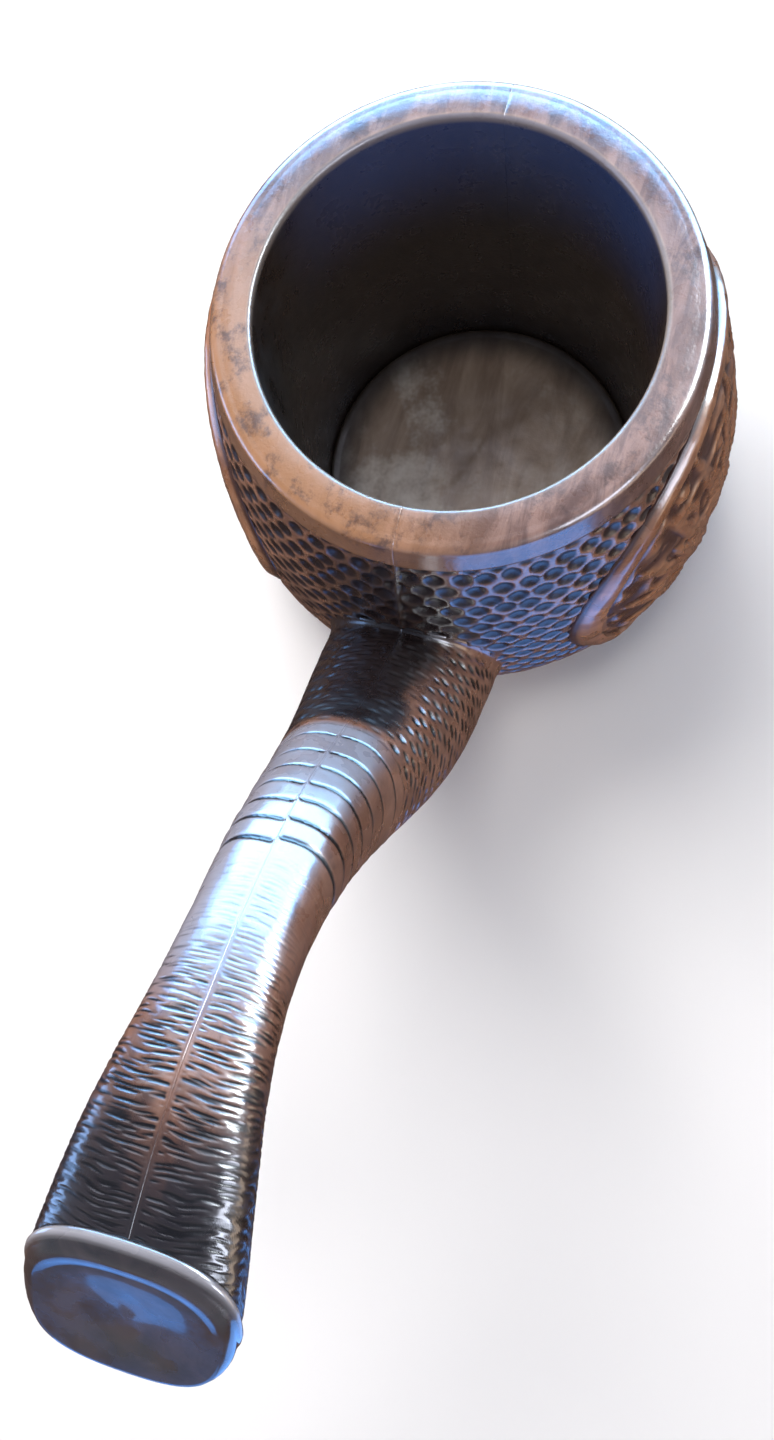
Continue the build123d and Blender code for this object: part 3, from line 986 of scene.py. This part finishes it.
# Name, place, size, power and colour. Metres and watts.
MATT_LIGHTS = (
    ("key", (-0.55, -0.55, 1.05), (0.8, 0.8), 18, DAYLIGHT),
    ("overhead", (0.0, 0.0, 0.95), (0.25, 0.25), 1.8, DAYLIGHT),
    ("left_fill", (0.45, -1.05, 0.40), (0.8, 0.6), 4.5, WARM_LIGHT),
    ("right_fill", (0.70, 0.90, 0.32), (0.8, 0.5), 3.8, WARM_LIGHT),
)
GLOSS_LIGHTS = (
    ("window", (-1.0, -0.02, 0.27), (2.0, 0.8), 54, (0.40, 0.76, 1.0)),
    ("wide_sky", (-1.1, -0.1, 0.42), (3.2, 1.1), 80, (0.15, 0.44, 1.0)),
    ("left_sky", (0.34, -1.05, 0.17), (0.7, 0.4), 5, (0.28, 0.52, 1.0)),
    ("right_sky", (0.45, 0.83, 0.60), (0.5, 0.35), 7, (0.78, 0.84, 1.0)),
    ("high_sky", (-0.45, 0.0, 1.1), (1.6, 0.5), 5, (0.80, 0.80, 0.92)),
    ("right_window", (-0.55, 0.80, 0.70), (0.7, 0.45), 30, (0.86, 0.94, 1.0)),
    ("right_glow", (0.35, 1.20, 0.10), (0.9, 0.4), 3, (1.0, 0.78, 0.60)),
    ("low_sky", (0.95, 0.62, -0.62), (1.0, 0.9), 8, (0.12, 0.38, 1.0)),
    ("end_sky", (1.12, -0.10, -0.27), (0.6, 0.5), 1.8, (0.07, 0.34, 1.0)),
)


def studio():
    """Soft daylight from beyond the bowl, with blue sky that shows in the gloss."""
    sky()
    for light in MATT_LIGHTS:
        area_light(*light, matt=True)
    for light in GLOSS_LIGHTS:
        area_light(*light, matt=False)
    view = bpy.context.scene.view_settings
    view.view_transform = "Standard"
    view.look = "None"


# The camera's place and its own axes, fitted to the photo.
CAMERA_PLACE = (92.4, 37.2, RIM_Z + 185.7)
CAMERA_FORWARD = (-0.1066, -0.1615, -0.9811)
CAMERA_RIGHT = (-0.2483, 0.9598, -0.1310)


def camera():
    """Camera high over the handle side, looking down into the mouth."""
    data = bpy.data.cameras.new("camera")
    data.sensor_width = 36.0
    data.lens = 28.75
    data.clip_start = 0.01
    obj = bpy.data.objects.new("camera", data)
    forward = Vector(CAMERA_FORWARD).normalized()
    right = Vector(CAMERA_RIGHT).normalized()
    up = right.cross(forward)
    turn = Matrix((right, up, -forward)).transposed()
    place = Vector(CAMERA_PLACE) * MM
    obj.matrix_world = Matrix.Translation(place) @ turn.to_4x4()
    bpy.context.scene.collection.objects.link(obj)
    bpy.context.scene.camera = obj


# ---- assembly ----------------------------------------------------------------------
def dress(piece, material, node):
    """Gives a piece its material and its body, and hides the CAD node that it stands for."""
    piece.data.materials.append(material)
    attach(piece, "root")
    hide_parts(node)


def build():
    """Makes every piece and gives it its material."""
    wall = bowl_wood("bowl_wood")
    handle_wood = carved_wood(
        "handle_wood", ridge=(0.22, 0.098, 0.060), pale=(0.36, 0.185, 0.120),
        pit=(0.006, 0.004, 0.004), grain=(60, 300, 60),
    )
    panel_wood = carved_wood(
        "medallion_wood", ridge=(0.32, 0.125, 0.052), pale=(0.50, 0.24, 0.115),
        pit=(0.060, 0.023, 0.015), grain=(60, 60, 200),
    )
    disc_wood = floor_wood("floor_wood")
    end_wood = polished_end("end_wood")
    dowel_wood = bare_wood("dowel_wood")
    for side, word in ((1, "right"), (-1, "left")):
        dress(bowl_half(side), wall, "bowl_half_" + word)
        dress(handle_half(side), handle_wood, "handle_half_" + word)
        dress(medallion(side), panel_wood, "medallion_" + word)
    dress(bowl_floor(), disc_wood, "bowl_floor")
    dress(end_cap(), end_wood, "handle_end_cap")
    for node in ("bowl_dowels", "handle_dowels", "handle_tenon"):    # shown as in the CAD
        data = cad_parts[node].data
        data.materials.clear()
        data.materials.append(dowel_wood)


build()
stage_floor()
studio()
camera()
